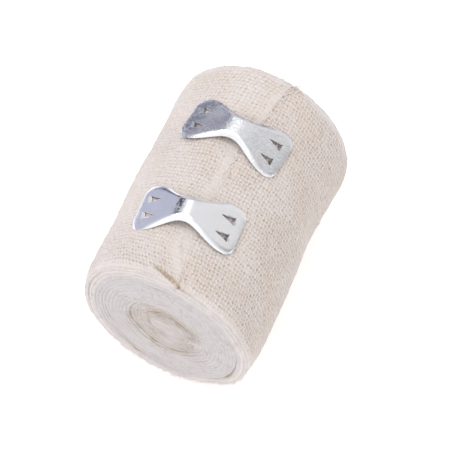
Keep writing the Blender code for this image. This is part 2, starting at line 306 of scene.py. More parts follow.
def loop_mesh(name, points, u, v, **fields):
    """A closed body of rings of points, with the yarn counts as a UV map and fields on its points."""
    rings, around = points.shape[:2]
    index = np.arange(rings * around).reshape(rings, around)
    here = index[:-1]
    after = index[1:]
    quads = np.stack([here, after, np.roll(after, -1, axis=1), np.roll(here, -1, axis=1)], axis=-1)
    faces = quads.reshape(-1, 4).tolist()
    faces.append(index[0].tolist())
    faces.append(index[-1][::-1].tolist())
    mesh = bpy.data.meshes.new(name)
    mesh.from_pydata(points.reshape(-1, 3).tolist(), [], faces)
    corner = np.zeros(len(mesh.loops), np.int32)
    mesh.loops.foreach_get("vertex_index", corner)
    counts = np.stack([u.ravel()[corner], v.ravel()[corner]], axis=-1).astype(np.float32)
    mesh.uv_layers.new(name="yarns").data.foreach_set("uv", counts.ravel())
    for field, values in fields.items():
        held = mesh.attributes.new(field, "FLOAT", "POINT")
        held.data.foreach_set("value", values.ravel().astype(np.float32))
    mesh.update()
    mesh.shade_smooth()
    thing = bpy.data.objects.new(name, mesh)
    bpy.context.scene.collection.objects.link(thing)
    return thing


def ring_length(points):
    """The length of the line through the middles of the rings."""
    middle = points.mean(axis=1)
    return float(np.linalg.norm(np.diff(middle, axis=0), axis=1).sum())


def face_depth(turns):
    """The depth of the winding's face after so many turns from the loose end's root, inwards."""
    wander = LAYER_WANDER * uneven(15, 0.11, 0.5)(turns, 0 * turns) * smooth(turns - 0.9)
    return np.where(turns <= 1, -TURN * (1 - turns), FINE_TURN * (turns - 1)) + wander


def outer_angle(u, along):
    """Where a weft of the outermost turn lies: askew with the cut edge, and square further on."""
    askew = (cut_angle(along) - CUT_EDGE_MEAN) * np.exp(-u * WEFT_PITCH / SKEW_FADES)
    return CUT_EDGE_MEAN + askew - np.degrees(u * WEFT_PITCH / MEAN_RADIUS)


def end_standing(angle, share, seed):
    """How far a place of the felted end stands out: soft bands of a few turns, waves and small loops."""
    a = np.radians(angle)
    x, z = share * np.sin(a), share * np.cos(a)
    bands = uneven(60 + seed, 0.1, 0.5)(share, 0 * share)
    waves = uneven(70 + seed, 0.3, 1.4)(x, z)
    loops = uneven(41 + seed, 0.07, 0.2)(x, z)
    worn = RIM_WEAR * smooth((share - 0.93) / 0.07)
    frizz = END_LOOPS + RIM_LOOPS * smooth((share - 0.9) / 0.1)
    return END_BANDS * bands * (1 + 0.5 * waves) + END_WAVES * waves + frizz * loops - worn


def share_at(turns):
    """The share of the radius at which a place of the winding lies."""
    return np.clip(1 - np.maximum(face_depth(turns), 0) / HALF_Z, 0, 1)


def woven_ends(turns, angle):
    """Where the near and far ends lie at a place of the winding."""
    share = share_at(turns)
    core = smooth((CORE_SHARE - share) / 0.15)
    places = []
    for end, seed in ((NEAR, 0), (FAR, 1)):
        out = end_standing(angle, share, seed) - end.hollow * core
        places.append(end_place(end, angle, share) + end.side * out)
    return places


def slit_share(angle, along):
    """How deep a place lies in the slit: 1 on its middle line, where it is fully open."""
    places = [slit.angle for slit in SLIT]
    middle = np.interp(angle, places, [slit.along for slit in SLIT])
    opened = np.interp(angle, places, [slit.open for slit in SLIT], left=0.0, right=0.0)
    half = SLIT_HALF * (0.5 + 0.5 * opened)
    return opened * np.exp(-(((along - middle) / half) ** 2))


def outer_place(u, v, thick=0.0):
    """Where the outermost turn's yarns lie: the angle, the place along, and both faces' depths."""
    share = v / WARPS
    angle = outer_angle(u, (share - 0.5) * WIDTH)
    turns = (ROOT_ANGLE - angle) / 360
    loose = smooth(-turns / 0.04 + 0.5)
    near, far = woven_ends(turns + thick, angle)
    far = far - FAR_INSET * loose
    along = near + (far - near) * share
    opened = stand_out(LIFTS, angle, along) * loose
    back = face_depth(turns + 1) - LAYER_GAP - opened
    tapered = smooth(u / CUT_TAPER)
    full = back + opened - face_depth(turns)
    face = back - (CUT_THICKNESS + (full - CUT_THICKNESS) * tapered)
    return angle, along, face, back


def weave_strength(u, v):
    """How boldly the yarns stand out: flat and patchy on the loose end, bold on the roll's right."""
    patches = 0.16 * uneven(9, 14.0, 45.0)(u, v)
    bold = smooth((u - 85) / 30) * (1 - 0.6 * smooth((u - 128) / 24))
    return np.clip(0.5 + patches + 0.5 * bold, 0.15, 1.0)


def outer_counts():
    """The outermost turn's weft and warp counts, and how far through the cloth each point lies."""
    face = (np.arange(WARPS * STEPS_PER_YARN) + 0.5) / STEPS_PER_YARN
    far_edge = WARPS + np.array([0.02, 0.1, 0.1])
    near_edge = WARPS - far_edge[::-1]
    back = np.array([WARPS - 0.5, WARPS - SELVAGE, WARPS / 2, SELVAGE, 0.5])
    v_row = np.concatenate([face, far_edge, back, near_edge])
    thick = np.concatenate([0 * face, [0.15, 0.45, 1.0], 0 * back + 1, [1.0, 0.45, 0.15]])
    shown = (np.arange(SHOWN_WEFTS * STEPS_PER_YARN) + 0.5) / STEPS_PER_YARN
    hidden = SHOWN_WEFTS + HIDDEN_WEFTS * (np.arange(HIDDEN_STEPS) + 1) / HIDDEN_STEPS
    u, v = np.meshgrid(np.concatenate([shown, hidden]), v_row, indexing="ij")
    return u, v, thick


def wandering_counts(u, v):
    """The yarn counts moved to where uneven yarns lie, with a ragged cut edge."""
    inside = smooth(v / 1.5) * smooth((WARPS - v) / 1.5)
    u_real = u + 0.35 * uneven(1, 9.0, 40.0)(u * 0.3, v) + 0.13 * uneven(3, 2.6, 5.0)(u, v)
    v_moved = 0.2 * uneven(2, 12.0, 60.0)(u, v * 0.3) + 0.13 * uneven(4, 2.6, 5.0)(u, v)
    ragged = 0.55 * uneven(6, 1.6, 9.0)(v, 0 * v) + 0.3
    u_real = np.maximum(u_real, 0.0) + np.maximum(ragged, 0) * np.exp(-u / 2.0)
    return u_real, v + v_moved * inside


def raised_yarns(u, v, selvage):
    """How far the yarns, the crinkle and the selvage's knots stand out, up to the hidden part."""
    fullness = 1 + 0.35 * uneven(5, 1.7, 6.0)(u, v)
    relief = weave_relief(u, v) * fullness * (1 - 0.75 * selvage) * weave_strength(u, v)
    crinkle = CRINKLE * uneven(7, 4.0, 16.0)(u * 0.9, v * 1.6)
    knots = SELVAGE_KNOTS * uneven(13, 1.8, 5.0)(u, v * 0.5) * selvage
    covered = smooth((u - SHOWN_WEFTS) / 2)
    return (relief + crinkle + knots) * (1 - covered)


def shadow_and_tint_beside_cut(u, v, angle, along):
    """Uneven brown on the turn below, just past the cut edge: painted shadow of the edge, with a warm
    tint there.
    """
    beside = np.radians((angle + 180) % 360 - 180 - cut_angle(along)) * MEAN_RADIUS
    patchy = smooth(uneven(17, 1.5, 6.0)(u, v) + 0.45) * (u > OUTER_WEFTS / 2)
    return 0.5 * np.exp(-((beside / CUT_SHADOW_SPREAD) ** 2)) * patchy


def make_outer():
    """The outermost turn and the loose end, with the weave modelled."""
    u, v, thick = outer_counts()
    on_face = thick == 0
    from_edge = np.minimum(v, WARPS - v).clip(0)
    selvage = 1 - smooth(from_edge / SELVAGE)
    u_real, v_real = wandering_counts(u, v)
    angle, along, outside, inner = outer_place(u_real, v_real, thick)
    inner = inner + LAYER_GAP * (from_edge <= 0)
    under = smooth((u - SHOWN_WEFTS + 6) / 3)
    rounded = SELVAGE_DROP * (1 - from_edge / SELVAGE).clip(0) ** 2 * (1 - under)
    # The slit's floor stays in its own cloth, and the thin corner lies down on the turn below
    slit = slit_share((angle + 180) % 360 - 180, along) * on_face
    floor = (inner - outside - LAYER_GAP - rounded).clip(0, SLIT_DEPTH)
    raised = np.where(on_face, raised_yarns(u, v, selvage), 0.0) * (1 - slit) - floor * slit
    laid_down = rounded * (1 - smooth(u / CUT_TAPER))
    depth = outside + (inner - outside) * thick + np.where(on_face, rounded, laid_down) - raised
    points = cloth_point(angle, along, depth)
    # Painted shade: brown in the slit, and beside the cut edge on the turn below
    painted_shade = np.maximum(0.85 * smooth(slit * 2.0), shadow_and_tint_beside_cut(u, v, angle, along))
    pale = np.maximum(selvage, 0.6 * (1 - smooth(u / 1.5)))
    # The outermost turn's edges and back get a little of the painted grey shade of the ends
    end_shade = np.where(on_face, 0.0, 0.3) + 0 * u
    fields = {"painted_shade": painted_shade, "pale": pale, "end_shade": end_shade, "weave": weave_strength(u, v)}
    return loop_mesh("bandage_outer", points, u, v, **fields), ring_length(points)


# Grooves between the turns at the roll's ends: their share of the radius and where they are open
Groove = namedtuple("Groove", "share spread angle angle_spread depth")
GROOVES = rows(Groove, "", [
    (0.43, 0.040, -145, 70, 1.0),
    (0.83, 0.028, -140, 45, 0.9),
    (0.77, 0.024, -118, 25, 0.6),
    (0.22, 0.060, 5, 45, 1.0),
    (0.88, 0.024, 115, 22, 0.7),
    (0.82, 0.024, 0, 22, 0.4),
    (1.0, 0.020, 20, 7, 1.0),
])


def groove_depth(turns, angle):
    """How open the groove outside a turn is at an angle: 0 where the cloths are pressed together."""
    share = share_at(turns)
    total = 0.02 + 0.1 * uneven(16, 0.05, 0.4)(turns, 0 * turns)
    for groove in GROOVES:
        turned = (angle - groove.angle + 180) % 360 - 180
        away = ((share - groove.share) / groove.spread) ** 2 + (turned / groove.angle_spread) ** 2
        total = np.maximum(total, groove.depth * np.exp(-away))
    return np.clip(total, 0.0, 1.0)


def turn_steps():
    """The turns and the weft counts of the inner turns' cross-sections, from the outermost turn in."""
    round_it = math.degrees(OUTER_WEFTS * WEFT_PITCH / MEAN_RADIUS)
    turns = [(ROOT_ANGLE - CUT_EDGE_MEAN + round_it) / 360]
    counts = [float(OUTER_WEFTS)]
    while True:
        share = 1 - FINE_TURN * max(turns[-1] - 1, 0) / HALF_Z
        if share < LAST_SHARE:
            break
        radius = share * (HALF_X + HALF_Z) / 2 + 0.5 * CORE_SLIT_HALF * (1 - share)
        turns.append(turns[-1] + WEFT_PITCH / STEPS_PER_YARN / (2 * math.pi * max(radius, CLOTH)))
        counts.append(counts[-1] + 1 / STEPS_PER_YARN)
    return np.array(turns), np.array(counts)


def make_turns():
    """The turns inside the outermost one, whose woven edges show at the roll's ends."""
    turns, u_row = turn_steps()
    edge = np.array([0.12, 0.5, 2.4])
    face = np.concatenate([edge, [21.0, 42.0], WARPS - edge[::-1]])
    v_row = np.concatenate([face, [WARPS + 0.1, WARPS + 0.1], face[::-1], [-0.1, -0.1]])
    thin = np.array([0.08, 0.01, 0, 0, 0, 0, 0.01, 0.08])
    thick = np.concatenate([thin, [0.33, 0.67], 1 - thin, [0.67, 0.33]])
    u, v = np.meshgrid(u_row, v_row, indexing="ij")
    t = np.broadcast_to(turns[:, None], u.shape)
    angle = ROOT_ANGLE + 360 - 360 * t
    # Beside an open groove the cloth's edge is round, and elsewhere the turns are pressed flush
    opened = np.where(thick < 0.5, groove_depth(t, angle), groove_depth(t + 1, angle))
    from_edge = np.minimum(v, WARPS - v)
    at_end = from_edge < 1.0
    outside = face_depth(t)
    inner = face_depth(t + 1) - LAYER_GAP * np.where(at_end, opened, 1.0)
    relief = 0.04 * MM * np.cos(2 * math.pi * u)
    depth = outside + (inner - outside) * thick - relief * (thick < 0.05) * (1 - at_end)
    depth = np.minimum(depth, HALF_Z)
    flush = np.where(at_end, (from_edge + 0.1) * opened - 0.1, from_edge)
    v_place = np.where(v < WARPS / 2, flush, WARPS - flush)
    # Each edge stands out as far as its neighbours where they meet
    share = share_at(t + thick)
    near, far = woven_ends(t + thick, angle)
    along = near + (far - near) * v_place / WARPS
    points = cloth_point(angle, along, depth)
    dashes = smooth(uneven(14, 3.0, 12.0)(u, t * 9) * 0.9 + 0.35)
    core = smooth((CORE_SHARE - share) / 0.15)
    # Painted shade: brown where the grooves between the turns open, broken into dashes; darker towards
    # the core as well
    painted_shade = (opened * 1.8 - 0.3) * dashes * at_end + 0.32 * core
    pale = 1 - smooth(from_edge.clip(0) / SELVAGE)
    # The ends get a painted grey shade, lighter at the rim and full further in
    end_shade = (0.3 + 0.7 * smooth((0.985 - share) / 0.09)) * at_end
    fields = {"painted_shade": painted_shade.clip(0, 1), "pale": pale, "end_shade": end_shade}
    piece = loop_mesh("bandage_turns", points, u, v, **fields)
    piece.data.set_sharp_from_angle(angle=math.radians(SHARP))
    return piece, ring_length(points)


def clip_half_width(u):
    """Half the clip's width at a place along it, with round corners."""
    u = abs(u)
    wide = CLIP_WIDE / 2
    waist = CLIP_WAIST / 2
    width = waist + (wide - waist) * float(smooth(u / CLIP_WIDE_AT)) ** 1.15
    past = u - (CLIP_LENGTH / 2 - CLIP_CORNER)
    if past > 0:
        width -= CLIP_CORNER - math.sqrt(max(CLIP_CORNER**2 - past**2, 0.0))
    return width


def clip_slope(u, turn):
    """The slope of the clip's middle line, bent over its crest and curled to its ends."""
    bent = max(-1.0, min(1.0, u / CLIP_BEND_HALF))
    bent = bent * (3 - bent * bent) / 2
    return -math.radians(turn / 2 * bent + CLIP_CURL * u / (CLIP_LENGTH / 2))


def clip_line(u, turn, steps=40):
    """The clip's middle line, from its crest."""
    x = z = 0.0
    for k in range(steps):
        slope = clip_slope(u * (k + 0.5) / steps, turn)
        x += u / steps * math.cos(slope)
        z += u / steps * math.sin(slope)
    return x, z


def clip_point(u, v, turn, line=None):
    """A point of the clip's underside: the middle line, with the long edges rolled down."""
    x, z = line or clip_line(u, turn)
    slope = clip_slope(u, turn)
    ended = float(smooth((abs(u) - 4 * MM) / (9 * MM)))
    depth = FLANGE_WAIST + (FLANGE_END - FLANGE_WAIST) * ended
    depth *= 1.0 if v < 0 else 1 - BACK_FLANGE * ended
    inside = clip_half_width(u) - abs(v)
    drop = depth * max(0.0, 1 - inside / FLANGE_WIDTH) ** 2
    at_end = CLIP_LENGTH / 2 - abs(u)
    drop = max(drop, END_DROP * max(0.0, 1 - at_end / FLANGE_WIDTH) ** 2)
    return Vector((x + drop * math.sin(slope), v, z - drop * math.cos(slope)))


def clip_placement(clip):
    """Where a clip stands on the roll, from its own frame with the crest at the origin."""
    centre = axis_point(clip.along)
    out = HALF_Z + clip.height
    skew = Matrix.Rotation(math.radians(clip.skew), 4, "Z")
    lean = Matrix.Rotation(math.radians(clip.lean), 4, "Y")
    tip = Matrix.Rotation(math.radians(clip.tip), 4, "X")
    turn = Matrix.Rotation(math.radians(clip.angle), 4, "Y")
    raised = Matrix.Translation((0, 0, out))
    return Matrix.Translation(centre) @ turn @ raised @ tip @ lean @ skew


def tooth_places():
    """Each tooth's place along and across the clip, and which end it is at."""
    places = []
    for side in (-1, 1):
        for across in (-1, 1):
            places.append((side * HOLE_END_AT, across * HOLE_APART / 2, side))
    return places


def along_plate(u, v, turn):
    sloping = Matrix.Rotation(-clip_slope(u, turn), 4, "Y")
    return Matrix.Translation(clip_point(u, v, turn)) @ sloping


def bmesh_object(name, bm):
    bmesh.ops.recalc_face_normals(bm, faces=bm.faces)
    mesh = bpy.data.meshes.new(name)
    bm.to_mesh(mesh)
    bm.free()
    thing = bpy.data.objects.new(name, mesh)
    bpy.context.scene.collection.objects.link(thing)
    return thing


def hole_shapes(turn):
    """The bodies that punch the three-cornered holes."""
    bm = bmesh.new()
    for u, v, side in tooth_places():
        made = bmesh.ops.create_cone(
            bm, cap_ends=True, segments=3, radius1=1.0, radius2=1.0, depth=4 * MM
        )
        shape = Matrix.Diagonal((HOLE_LENGTH / 1.5, HOLE_WIDTH / math.sqrt(3), 1, 1))
        shape = shape @ Matrix.Rotation(math.radians(90 * side), 4, "Z")
        placed = along_plate(u, v, turn) @ Matrix.Translation((-side * HOLE_LENGTH / 3, 0, 0)) @ shape
        bmesh.ops.transform(bm, matrix=placed, verts=made["verts"])
    return bmesh_object("hole_shapes", bm)


def tooth_shapes(turn):
    """The teeth bent down beside the holes."""
    bm = bmesh.new()
    for u, v, side in tooth_places():
        made = bmesh.ops.create_cube(bm, size=1.0)
        for vert in made["verts"]:
            low = vert.co.z < 0
            width = TOOTH_TIP if low else TOOTH_WIDTH
            leaning = -side * TOOTH_LEAN if low else 0.0
            vert.co.x = side * TOOTH_METAL / 2 + math.copysign(TOOTH_METAL / 2, vert.co.x) + leaning
            vert.co.y = math.copysign(width / 2, vert.co.y)
            vert.co.z = -TOOTH_LENGTH if low else CLIP_METAL / 2
        bmesh.ops.transform(bm, matrix=along_plate(u, v, turn), verts=made["verts"])
    return bmesh_object("tooth_shapes", bm)


def clip_strip(clip):
    """The clip's bent strip as one layer of faces, with its rolled edges."""
    bm = bmesh.new()
    grid = []
    half = CLIP_LENGTH / 2
    for row in range(CLIP_ROWS + 1):
        u = half * math.sin(math.pi / 2 * (2 * row / CLIP_ROWS - 1))
        width = clip_half_width(u)
        middle = clip_line(u, clip.turn)
        line = []
        for k in range(CLIP_COLUMNS + 1):
            v = width * math.sin(math.pi / 2 * (2 * k / CLIP_COLUMNS - 1))
            line.append(bm.verts.new(clip_point(u, v, clip.turn, middle)))
        grid.append(line)
    for one, other in zip(grid, grid[1:]):
        for k in range(CLIP_COLUMNS):
            bm.faces.new([one[k], other[k], other[k + 1], one[k + 1]])
    strip = bmesh_object(clip.name + "_metal", bm)
    if strip.data.polygons[0].normal.z < 0:
        strip.data.flip_normals()
    return strip


def press_clip(strip, turn):
    """Give the strip its metal, punch the holes, join the teeth on and soften the edges."""
    solid = strip.modifiers.new("metal", "SOLIDIFY")
    solid.thickness = CLIP_METAL
    solid.offset = 1.0
    guides = [hole_shapes(turn), tooth_shapes(turn)]
    for guide, operation in zip(guides, ("DIFFERENCE", "UNION")):
        cut = strip.modifiers.new(operation, "BOOLEAN")
        cut.operation = operation
        cut.object = guide
    bevel = strip.modifiers.new("edges", "BEVEL")
    bevel.width = CLIP_BEVEL
    bevel.segments = 2
    bevel.limit_method = "ANGLE"
    bevel.angle_limit = math.radians(45)
    graph = bpy.context.evaluated_depsgraph_get()
    made = bpy.data.meshes.new_from_object(strip.evaluated_get(graph))
    strip.modifiers.clear()
    strip.data = made
    for guide in guides:
        bpy.data.objects.remove(guide)
    made.shade_smooth()
    made.set_sharp_from_angle(angle=math.radians(SHARP))


def mark_wear_and_reflection(mesh, clip):
    """Fields for the metal's looks: where it is worn, wrinkled at the crest, and where a dark reflection
    is painted.
    """
    wear = mesh.attributes.new("wear", "FLOAT", "POINT")
    crease = mesh.attributes.new("crease", "FLOAT", "POINT")
    painted_reflection = mesh.attributes.new("painted_reflection", "FLOAT", "POINT")
    for vertex, worn, creased, reflected in zip(mesh.vertices, wear.data, crease.data, painted_reflection.data):
        x, y, _ = vertex.co
        worn.value = clip.wear * (0.6 + 0.4 * float(smooth((-x - 2 * MM) / (5 * MM))))
        creased.value = math.exp(-(((x + 3.4 * MM) / (1.5 * MM)) ** 2))
        # Painted dark reflection: along the back edge by the crest, and over the end plate past the
        # crease, faint elsewhere
        from_back = clip_half_width(x) - y
        in_middle = float(smooth(1.9 - abs(x + 3 * MM) / (8 * MM)))
        by_edge = math.exp(-((from_back / (1.1 * MM)) ** 2)) * in_middle
        by_end = 0.5 * float(smooth((-x - 7.5 * MM) / (6 * MM))) + 0.14
        reflected.value = clip.wear * max(by_edge, by_end)


def make_clip(clip):
    """A pressed clip with rolled edges, punched holes, bent teeth and softened metal edges."""
    strip = clip_strip(clip)
    press_clip(strip, clip.turn)
    mark_wear_and_reflection(strip.data, clip)
    strip.data.transform(clip_placement(clip))
    return strip


def strand(path, radius, sides=5):
    """A thin tapered tube along a path, as points and faces."""
    path = np.asarray(path)
    count = len(path)
    ahead = np.gradient(path, axis=0)
    ahead /= np.linalg.norm(ahead, axis=1, keepdims=True) + 1e-12
    across = np.cross(ahead, [0.31, 0.22, 0.92])
    across /= np.linalg.norm(across, axis=1, keepdims=True) + 1e-12
    up = np.cross(across, ahead)
    around = np.arange(sides) / sides * 2 * math.pi
    from_end = np.minimum(np.arange(count), np.arange(count)[::-1])
    size = radius * np.minimum(1, 0.35 + 1.3 * from_end / 2)
    cosine, sine = np.cos(around)[None, :, None], np.sin(around)[None, :, None]
    points = path[:, None] + (across[:, None] * cosine + up[:, None] * sine) * size[:, None, None]
    index = np.arange(count * sides).reshape(count, sides)
    here, after = index[:-1], index[1:]
    quads = np.stack([here, np.roll(here, -1, 1), np.roll(after, -1, 1), after], axis=-1)
    faces = quads.reshape(-1, 4).tolist() + [index[0][::-1].tolist(), index[-1].tolist()]
    return points.reshape(-1, 3), faces


def strands_object(name, strands):
    """One object of many strands."""
    points, faces, base = [], [], 0
    for some_points, some_faces in strands:
        points.append(some_points)
        faces += [[base + k for k in face] for face in some_faces]
        base += len(some_points)
    mesh = bpy.data.meshes.new(name)
    mesh.from_pydata(np.concatenate(points).tolist(), [], faces)
    mesh.shade_smooth()
    thing = bpy.data.objects.new(name, mesh)
    bpy.context.scene.collection.objects.link(thing)
    return thing


def ground_depth(angle):
    """The depth of the face of the layer that lies under the cut edge, to its right."""
    return face_depth((ROOT_ANGLE - angle) / 360 + 1)


FRAYS_PER_WARP = 3
THREAD_RADIUS = 0.17 * MM
FACE_FIBRES = 2200
RIM_FIBRES = 700
END_FIBRES = 2600
FIBRE_RADIUS = 0.04 * MM
FLAT_FIBRE_RADIUS = 0.03 * MM


def make_frayed_ends():
    """Warp ends that lie free past the cut edge, where the last wefts have come away."""
    rng = np.random.default_rng(8)
    made = []
    for warp in range(3, WARPS):
        for _ in range(FRAYS_PER_WARP):
            v = warp + 0.5 + rng.uniform(-0.35, 0.35)
            along = (v / WARPS - 0.5) * WIDTH
            start = float(cut_angle(along))
            reach = rng.uniform(1.5, 5.0) * MM
            s = np.linspace(0, 1, 12)
            drift = np.cumsum(rng.normal(0, 0.2, 12)) * MM
            drift -= drift[0]
            angle = start - 1.5 + np.degrees((reach + 0.7 * MM) * s / HALF_Z)
            place = outer_along(angle, along) + drift
            over = np.maximum(0, 1 - s * 3) * CUT_THICKNESS
            lift = over + (0.14 + 0.08 * np.sin(s * rng.uniform(3, 9) + rng.uniform(0, 6))) * MM
            path = cloth_point(angle, place, ground_depth(angle) - lift)
            made.append(strand(path, rng.uniform(0.08, 0.15) * MM))
    return strands_object("frayed_ends", made)


def outer_along(angle, along):
    """A place between the roll's two ends, for a place between the flat cloth's two edges."""
    near = end_place(NEAR, angle, 1.0) + 0.6 * MM
    far = end_place(FAR, angle, 1.0) - 0.6 * MM
    return near + (far - near) * (along / WIDTH + 0.5)


Thread = namedtuple("Thread", "begin finish out_begin out_finish wander")
# Weft threads that have come loose beside the cut edge: where each begins and ends along the
# roll, how far right of the cut edge, and how much it wanders
THREADS = rows(Thread, "begin finish out_begin out_finish wander", [
    (-36, -24, 0.8, 2.4, 0.7),
    (-33, -20, 2.6, 0.9, 0.9),
    (-12, 2, 0.6, 1.6, 0.8),
    (-8, 7, 1.9, 0.8, 0.6),
    (4, 18, 1.0, 2.0, 0.7),
    (20, 37, 1.2, 0.6, 0.8),
    (24, 38, 2.6, 1.8, 0.7),
])


def make_loose_threads():
    """Loose weft threads that lie beside the cut edge."""
    rng = np.random.default_rng(9)
    made = []
    for thread in THREADS:
        steps = 46
        s = np.linspace(0, 1, steps)
        along = thread.begin + (thread.finish - thread.begin) * s
        out = thread.out_begin + (thread.out_finish - thread.out_begin) * s
        wave = np.zeros(steps)
        for turns in (1.3, 3.1, 6.2):
            wave = wave + np.sin(2 * math.pi * (s * turns * rng.uniform(0.8, 1.2) + rng.random())) / turns
        out = np.maximum(out + thread.wander * wave, 0.2 * MM)
        angle = cut_angle(along) + np.degrees(out / HALF_Z)
        lift = (0.3 + 0.12 * np.sin(2 * math.pi * (3 * s + rng.random()))) * MM
        path = cloth_point(angle, outer_along(angle, along), ground_depth(angle) - lift)
        made.append(strand(path, THREAD_RADIUS))
    return strands_object("loose_threads", made)


def make_fuzz():
    """Short stray fibres on the cloth's face and round the edges of its ends."""
    rng = np.random.default_rng(10)
    made = []
    for _ in range(FACE_FIBRES):
        u, v = rng.uniform(0.5, OUTER_WEFTS - 1), rng.uniform(0, WARPS)
        angle, along, face, _ = outer_place(np.array([u]), np.array([v]))
        made.append(fibre(rng, angle[0], along[0], face[0], 0.6 * MM, 0.0))
    for side, end in ((-1, NEAR), (1, FAR)):
        for _ in range(RIM_FIBRES):
            angle = rng.uniform(ROOT_ANGLE, ROOT_ANGLE + 360)
            along = float(end_place(end, angle, 1.0)) + side * -0.1 * MM
            turns = (ROOT_ANGLE - angle) / 360 + (angle > CUT_EDGE_MEAN)
            depth = float(face_depth(np.array(turns))) + rng.uniform(0, 1.2) * MM
            made.append(fibre(rng, angle, along, depth, 0.7 * MM, side * 1.0))
    for _ in range(END_FIBRES):
        angle, turns = rng.uniform(0, 360), rng.uniform(1, 18)
        depth = float(face_depth(np.array(turns)))
        share = 1 - depth / HALF_Z
        along = float(end_place(NEAR, angle, share)) - 0.1 * MM
        made.append(flat_fibre(rng, angle, along, depth, share))
    return strands_object("fuzz", made)


def flat_fibre(rng, angle, along, depth, share):
    """One fibre lying over the edges of the turns at the near end."""
    s = np.linspace(0, 1, 5)
    long = rng.uniform(0.8, 2.6) * MM
    turn = rng.uniform(0, 2 * math.pi) + rng.uniform(-2, 2) * s
    round_it = np.cumsum(np.cos(turn)) * long / 5
    inwards = np.cumsum(np.sin(turn)) * long / 5
    core = float(smooth((CORE_SHARE - share) / 0.15))
    out = (0.12 + 0.15 * np.sin(math.pi * s)) * MM - NEAR.hollow * core
    wide = max(share, 0.08) * HALF_Z
    path = cloth_point(angle + np.degrees(round_it / wide), along - out, np.maximum(depth + inwards, 0))
    return strand(path, FLAT_FIBRE_RADIUS, sides=3)


def fibre(rng, angle, along, depth, reach, endways):
    """One stray fibre: a short curl that starts in the cloth and stands a little off it."""
    s = np.linspace(0, 1, 5)
    long = reach * rng.uniform(0.6, 1.9)
    heading = rng.uniform(0, 2 * math.pi)
    curl = rng.uniform(-2.5, 2.5)
    turn = heading + curl * s
    round_it = np.cumsum(np.cos(turn)) * long / 5
    along_it = np.cumsum(np.sin(turn)) * long / 5 * (1 - abs(endways)) + endways * long * s * 0.5
    rise = rng.uniform(0.1, 0.45) * long * s * (1 - abs(endways) * 0.5)
    path = cloth_point(angle + np.degrees(round_it / HALF_Z), along + along_it, depth - rise)
    return strand(path, FIBRE_RADIUS, sides=3)


class Nodes:
    """A node tree, with short calls for the nodes that the looks need."""

    def __init__(self, tree):
        self.tree = tree

    def add(self, kind, **settings):
        node = self.tree.nodes.new(kind)
        for name, value in settings.items():
            setattr(node, name, value)
        return node

    def link(self, value, socket):
        if isinstance(value, bpy.types.NodeSocket):
            self.tree.links.new(value, socket)
        else:
            socket.default_value = value

    def maths(self, operation, *values):
        node = self.add("ShaderNodeMath", operation=operation)
        for socket, value in zip(node.inputs, values):
            self.link(value, socket)
        return node.outputs[0]

    def noise(self, vector, scale, detail=2.0, roughness=0.5):
        node = self.add("ShaderNodeTexNoise")
        self.link(vector, node.inputs["Vector"])
        node.inputs["Scale"].default_value = scale
        node.inputs["Detail"].default_value = detail
        node.inputs["Roughness"].default_value = roughness
        return node.outputs["Fac"]

    def grain(self, across, along, slant):
        """An oval grain in the middle of a cell, 1 at its crown and 0 outside it."""
        leaning = self.maths("MULTIPLY_ADD", along, -slant, across)
        wide = self.maths("POWER", self.maths("ABSOLUTE", self.maths("DIVIDE", leaning, 0.38)), 2.0)
        long = self.maths("POWER", self.maths("ABSOLUTE", self.maths("DIVIDE", along, 0.85)), 2.0)
        left = self.maths("SUBTRACT", 1.0, self.maths("ADD", wide, long))
        return self.maths("SQRT", self.maths("MAXIMUM", left, 0.0))

    def scaled(self, vector, scale, rotation=0.0):
        node = self.add("ShaderNodeMapping")
        self.link(vector, node.inputs["Vector"])
        node.inputs["Rotation"].default_value = (0, 0, rotation)
        node.inputs["Scale"].default_value = scale
        return node.outputs[0]

    def mix(self, factor, one, other, blend="MIX"):
        node = self.add("ShaderNodeMix", data_type="RGBA", blend_type=blend)
        self.link(factor, node.inputs["Factor"])
        self.link(one, node.inputs["A"])
        self.link(other, node.inputs["B"])
        return node.outputs["Result"]

    def spread(self, value, low, high, to_low=0.0, to_high=1.0):
        node = self.add("ShaderNodeMapRange")
        self.link(value, node.inputs["Value"])
        node.inputs["From Min"].default_value = low
        node.inputs["From Max"].default_value = high
        node.inputs["To Min"].default_value = to_low
        node.inputs["To Max"].default_value = to_high
        return node.outputs[0]

    def bump(self, height, strength, distance, normal=None):
        node = self.add("ShaderNodeBump")
        node.inputs["Strength"].default_value = strength
        node.inputs["Distance"].default_value = distance
        self.link(height, node.inputs["Height"])
        if normal is not None:
            self.link(normal, node.inputs["Normal"])
        return node.outputs[0]

    def field(self, name):
        """A field of the mesh's points."""
        return self.add("ShaderNodeAttribute", attribute_name=name).outputs["Fac"]

    def place(self):
        """The place on the object itself."""
        return self.add("ShaderNodeTexCoord").outputs["Object"]


class Surface(Nodes):
    """A material's node tree, with its one shader."""

    def __init__(self, name, colour, roughness, metallic=0.0):
        self.material = bpy.data.materials.new(name)
        self.material.use_nodes = True
        super().__init__(self.material.node_tree)
        self.shader = self.tree.nodes["Principled BSDF"]
        self.feed("Base Color", (*colour, 1.0))
        self.feed("Roughness", roughness)
        self.feed("Metallic", metallic)

    def feed(self, name, value):
        """Link a value to the shader's socket, or set a constant on it."""
        self.link(value, self.shader.inputs[name])


CREAM = (0.775, 0.685, 0.62, 1.0)
CREAM_PALE = (0.80, 0.74, 0.715, 1.0)
CREAM_WARM = (0.70, 0.56, 0.42, 1.0)
SELVAGE_COLOUR = (0.78, 0.725, 0.70, 1.0)
# Painted shade: the grey of the roll's ends
END_SHADE_COLOUR = (0.555, 0.53, 0.545, 1.0)
